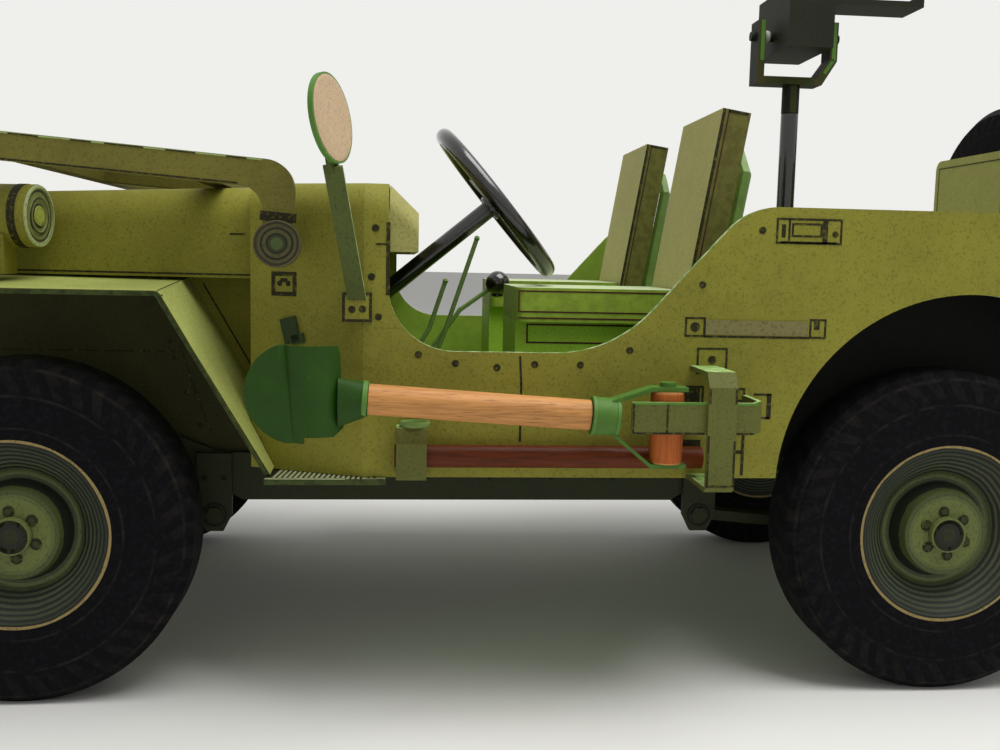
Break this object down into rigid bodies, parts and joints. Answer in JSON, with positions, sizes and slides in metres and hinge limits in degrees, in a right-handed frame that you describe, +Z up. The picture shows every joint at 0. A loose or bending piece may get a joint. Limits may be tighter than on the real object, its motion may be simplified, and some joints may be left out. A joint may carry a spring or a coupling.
{
  "type": "card scale model of a light army 4x4 car",
  "caption": "Open card scale model of a light military four-wheel-drive car, windscreen folded over the bonnet, with tools, spare wheel and an empty pedestal mount.",
  "frame": {"origin": "on the ground, at the bottom centre of the whole model's bounding box", "axes": "+X forward, +Y to the car's left, +Z up"},
  "size_m": [0.1334, 0.0682, 0.0682],
  "materials": {
    "olive_card": "matt printed card",
    "light_card": "matt printed card",
    "green_card": "matt painted card",
    "tan_card": "matt printed card",
    "dark_card": "matt printed card",
    "black_card": "matt printed card",
    "pale_wood": "stained and waxed",
    "dark_wood": "stained and waxed",
    "dark_wire": "gloss black paint",
    "green_wire": "satin paint",
    "clear_film": "clear film"
  },
  "bodies": {
    "car": {"axe_handle": "dark_wood", "bay_walls": "olive_card", "bonnet": "olive_card", "can": "olive_card", "can_tray": "olive_card", "chassis_frame": "olive_card", "control_levers": "dark_wire", "cowl": "olive_card", "dashboard": "light_card", "exhaust_box": "dark_card", "fender_lamp": "olive_card", "front_axle": "dark_card", "front_bumper": "olive_card", "front_lamps": "light_card", "gearbox_and_shafts": "dark_card", "grille": "olive_card", "leaf_springs": "dark_card", "left_fender": "olive_card", "left_side_panel": "olive_card", "mirror_arm": "olive_card", "mirror_head": "olive_card", "pedestal_post": "dark_wire", "rear_axle": "dark_card", "rear_bumperettes": "olive_card", "rear_panel": "olive_card", "rear_seat_back": "light_card", "rear_seat_box": "olive_card", "rear_seat_cushion": "light_card", "right_fender": "olive_card", "right_side_panel": "olive_card", "seat_backs": "light_card", "seat_boxes": "olive_card", "seat_cushions": "light_card", "seat_tubes": "green_wire", "shovel_blade": "green_card", "shovel_grip_arms": "green_card", "shovel_handle": "pale_wood", "spare_carrier": "olive_card", "spare_disc": "tan_card", "spare_tyre": "black_card", "spring_hangers": "olive_card", "steering_wheel_and_column": "dark_wire", "step_plates": "olive_card", "tool_straps": "light_card", "towing_eye": "olive_card", "tub_floor": "olive_card", "wheel_boxes": "olive_card", "windscreen_pivots": "olive_card"},
    "wheel_front_left": {"tyre_front_left": "black_card", "wheel_disc_front_left": "tan_card"},
    "wheel_front_right": {"tyre_front_right": "black_card", "wheel_disc_front_right": "tan_card"},
    "wheel_rear_left": {"tyre_rear_left": "black_card", "wheel_disc_rear_left": "tan_card"},
    "wheel_rear_right": {"tyre_rear_right": "black_card", "wheel_disc_rear_right": "tan_card"},
    "windscreen": {"windscreen_frame": "olive_card", "windscreen_panes": "clear_film"},
    "turning_yoke": {"yoke": "olive_card"},
    "tilting_cradle": {"cradle": "dark_card"}
  },
  "joints": [
    {"name": "front_left_roll", "type": "hinge", "parent": "car", "child": "wheel_front_left", "pos_m": [0.0455, 0.02176, 0.0147], "axis": [0, 1, 0], "continuous": true},
    {"name": "front_right_roll", "type": "hinge", "parent": "car", "child": "wheel_front_right", "pos_m": [0.0455, -0.02804, 0.0147], "axis": [0, 1, 0], "continuous": true},
    {"name": "rear_left_roll", "type": "hinge", "parent": "car", "child": "wheel_rear_left", "pos_m": [-0.0358, 0.02176, 0.0147], "axis": [0, 1, 0], "continuous": true},
    {"name": "rear_right_roll", "type": "hinge", "parent": "car", "child": "wheel_rear_right", "pos_m": [-0.0358, -0.02804, 0.0147], "axis": [0, 1, 0], "continuous": true},
    {"name": "windscreen_fold", "type": "hinge", "parent": "car", "child": "windscreen", "pos_m": [0.02335, -0.00314, 0.0393], "axis": [0, -1, 0], "range_deg": [0, 90]},
    {"name": "yoke_turn", "type": "hinge", "parent": "car", "child": "turning_yoke", "pos_m": [-0.02945, -0.00314, 0.0568], "axis": [0, 0, 1], "continuous": true},
    {"name": "cradle_tilt", "type": "hinge", "parent": "turning_yoke", "child": "tilting_cradle", "pos_m": [-0.02955, -0.00314, 0.0636], "axis": [1, 0, 0], "range_deg": [-20, 20]}
  ]
}
